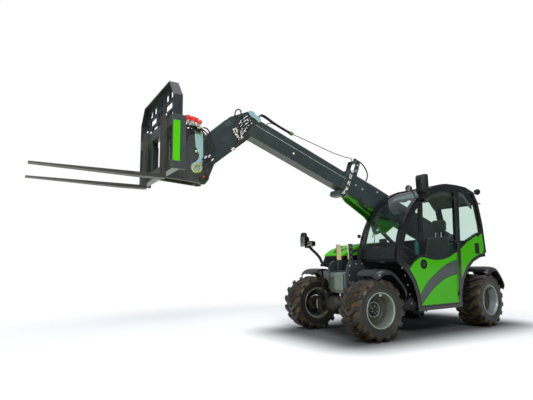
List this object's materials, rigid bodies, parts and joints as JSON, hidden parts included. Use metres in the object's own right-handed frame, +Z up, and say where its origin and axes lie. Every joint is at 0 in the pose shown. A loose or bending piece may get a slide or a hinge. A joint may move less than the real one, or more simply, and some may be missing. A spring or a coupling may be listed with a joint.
{
  "type": "compact telescopic handler",
  "caption": "Compact telescopic handler with an offset cab, four steered wheels, a two-section boom and a tilting pallet-fork carriage.",
  "frame": {"origin": "on the ground under the middle of the machine's overall length and width", "axes": "+X forwards towards the fork tips, +Y to the machine's left (cab side), +Z up"},
  "size_m": [6.783, 1.9247, 2.9598],
  "materials": {
    "slate_paint": "satin slate-grey paint over welded steel",
    "axle_paint": "satin black paint over cast steel",
    "nose_paint": "satin steel-grey paint",
    "green_paint": "gloss lime-green paint",
    "cab_paint": "semi-gloss black paint",
    "bay_plastic": "grained black plastic",
    "fender_plastic": "grained black plastic",
    "tyre_rubber": "dusty black rubber",
    "rim_paint": "silver wheel paint",
    "engine_iron": "rough cast iron",
    "rod_chrome": "polished chrome",
    "fork_steel": "black paint over forged steel",
    "seat_fabric": "woven black fabric",
    "cab_glass": "green-tinted safety glass"
  },
  "bodies": {
    "chassis": {"boom_guides": "nose_paint", "cab_base": "cab_paint", "cab_frame": "cab_paint", "chassis_frame": "slate_paint", "counterweight": "slate_paint", "cowl": "slate_paint", "dash_console": "bay_plastic", "engine_bay": "bay_plastic", "engine_block": "engine_iron", "front_axle": "axle_paint", "left_mirror": "bay_plastic", "mirror_stalk": "bay_plastic", "nose_box": "nose_paint", "quarter_glass": "cab_glass", "quarter_panel": "green_paint", "rear_axle": "axle_paint", "rear_glass": "cab_glass", "right_glass": "cab_glass", "right_rear_glass": "cab_glass", "seat": "seat_fabric", "steering_column": "bay_plastic", "windscreen": "cab_glass", "work_lamps": "bay_plastic"},
    "outer_boom": {"outer_boom": "slate_paint", "lift_bracket": "green_paint"},
    "inner_boom": {"inner_boom": "slate_paint", "boom_head": "slate_paint"},
    "carriage": {"carriage_frame": "slate_paint", "guard": "slate_paint", "fork_left": "fork_steel", "fork_right": "fork_steel", "hitch_plate": "nose_paint"},
    "lift_barrel": {"lift_barrel": "green_paint"},
    "lift_rod": {"lift_rod": "rod_chrome"},
    "tilt_barrel": {"tilt_barrel": "green_paint"},
    "tilt_rod": {"tilt_rod": "rod_chrome"},
    "door": {"door": "cab_paint", "door_glass": "cab_glass", "door_panel": "green_paint"},
    "hood": {"hood": "green_paint"},
    "knuckle_fl": {"knuckle_fl": "axle_paint", "fender_fl": "fender_plastic"},
    "wheel_fl": {"tyre_fl": "tyre_rubber", "rim_fl": "rim_paint"},
    "knuckle_fr": {"knuckle_fr": "axle_paint", "fender_fr": "fender_plastic"},
    "wheel_fr": {"tyre_fr": "tyre_rubber", "rim_fr": "rim_paint"},
    "knuckle_rl": {"knuckle_rl": "axle_paint", "fender_rl": "fender_plastic"},
    "wheel_rl": {"tyre_rl": "tyre_rubber", "rim_rl": "rim_paint"},
    "knuckle_rr": {"knuckle_rr": "axle_paint", "fender_rr": "fender_plastic"},
    "wheel_rr": {"tyre_rr": "tyre_rubber", "rim_rr": "rim_paint"}
  },
  "joints": [
    {"name": "boom_lift", "type": "hinge", "parent": "chassis", "child": "outer_boom", "pos_m": [-2.977, -0.12, 1.3], "axis": [0, -1, 0], "range_deg": [-24.9, 41.5]},
    {"name": "boom_extend", "type": "slide", "parent": "outer_boom", "child": "inner_boom", "axis": [0.9351, 0, 0.3543], "range_m": [-1.35, 0]},
    {"name": "carriage_tilt", "type": "hinge", "parent": "inner_boom", "child": "carriage", "pos_m": [1.562, -0.12, 2.00496], "axis": [0, 1, 0], "range_deg": [-38, 62]},
    {"name": "lift_barrel_swing", "type": "hinge", "parent": "chassis", "child": "lift_barrel", "pos_m": [-2.627, -0.12, 0.6], "axis": [0, -1, 0], "range_deg": [-21.2, 36]},
    {"name": "lift_rod_slide", "type": "slide", "parent": "lift_barrel", "child": "lift_rod", "axis": [0.8047, 0, 0.5937], "range_m": [-0.33, 0.555]},
    {"name": "tilt_barrel_swing", "type": "hinge", "parent": "inner_boom", "child": "tilt_barrel", "pos_m": [0.912, -0.12, 2.74996], "axis": [0, 1, 0], "range_deg": [-2, 2]},
    {"name": "tilt_rod_slide", "type": "slide", "parent": "tilt_barrel", "child": "tilt_rod", "axis": [0.8625, 0, -0.506], "range_m": [-0.19, 0.31]},
    {"name": "steer_fl", "type": "hinge", "parent": "chassis", "child": "knuckle_fl", "pos_m": [-0.527, 0.35, 0.3865], "axis": [0, 0, 1], "range_deg": [-20.4, 31.6]},
    {"name": "spin_fl", "type": "hinge", "parent": "knuckle_fl", "child": "wheel_fl", "pos_m": [-0.50504, 0.57393, 0.3865], "axis": [0.0976, 0.9952, 0], "continuous": true},
    {"name": "steer_fr", "type": "hinge", "parent": "chassis", "child": "knuckle_fr", "pos_m": [-0.527, -0.51, 0.3865], "axis": [0, 0, 1], "range_deg": [-20.4, 31.6]},
    {"name": "spin_fr", "type": "hinge", "parent": "knuckle_fr", "child": "wheel_fr", "pos_m": [-0.54896, -0.73393, 0.3865], "axis": [0.0976, 0.9952, 0], "continuous": true},
    {"name": "steer_rl", "type": "hinge", "parent": "chassis", "child": "knuckle_rl", "pos_m": [-2.76, 0.35, 0.3865], "axis": [0, 0, 1], "range_deg": [-31, 21]},
    {"name": "spin_rl", "type": "hinge", "parent": "knuckle_rl", "child": "wheel_rl", "pos_m": [-2.77961, 0.57414, 0.3865], "axis": [-0.0872, 0.9962, 0], "continuous": true},
    {"name": "steer_rr", "type": "hinge", "parent": "chassis", "child": "knuckle_rr", "pos_m": [-2.76, -0.51, 0.3865], "axis": [0, 0, 1], "range_deg": [-31, 21]},
    {"name": "spin_rr", "type": "hinge", "parent": "knuckle_rr", "child": "wheel_rr", "pos_m": [-2.74039, -0.73414, 0.3865], "axis": [-0.0872, 0.9962, 0], "continuous": true},
    {"name": "door_swing", "type": "hinge", "parent": "chassis", "child": "door", "pos_m": [-2.10641, 0.76, 1.2], "axis": [-0.0594, 0, 0.9982], "range_deg": [0, 100]},
    {"name": "hood_lift", "type": "hinge", "parent": "chassis", "child": "hood", "pos_m": [-1.727, -0.336, 1.24], "axis": [-1, 0, 0], "range_deg": [0, 60]}
  ],
  "couplings": [
    {"joint": "lift_barrel_swing", "follows": "boom_lift", "ratio": 0.85},
    {"joint": "lift_rod_slide", "follows": "boom_lift", "m_per_rad": 0.75},
    {"joint": "tilt_barrel_swing", "follows": "carriage_tilt", "ratio": 0.02},
    {"joint": "tilt_rod_slide", "follows": "carriage_tilt", "m_per_rad": 0.28},
    {"joint": "steer_fr", "follows": "steer_fl", "ratio": 1},
    {"joint": "steer_rr", "follows": "steer_rl", "ratio": 1}
  ]
}
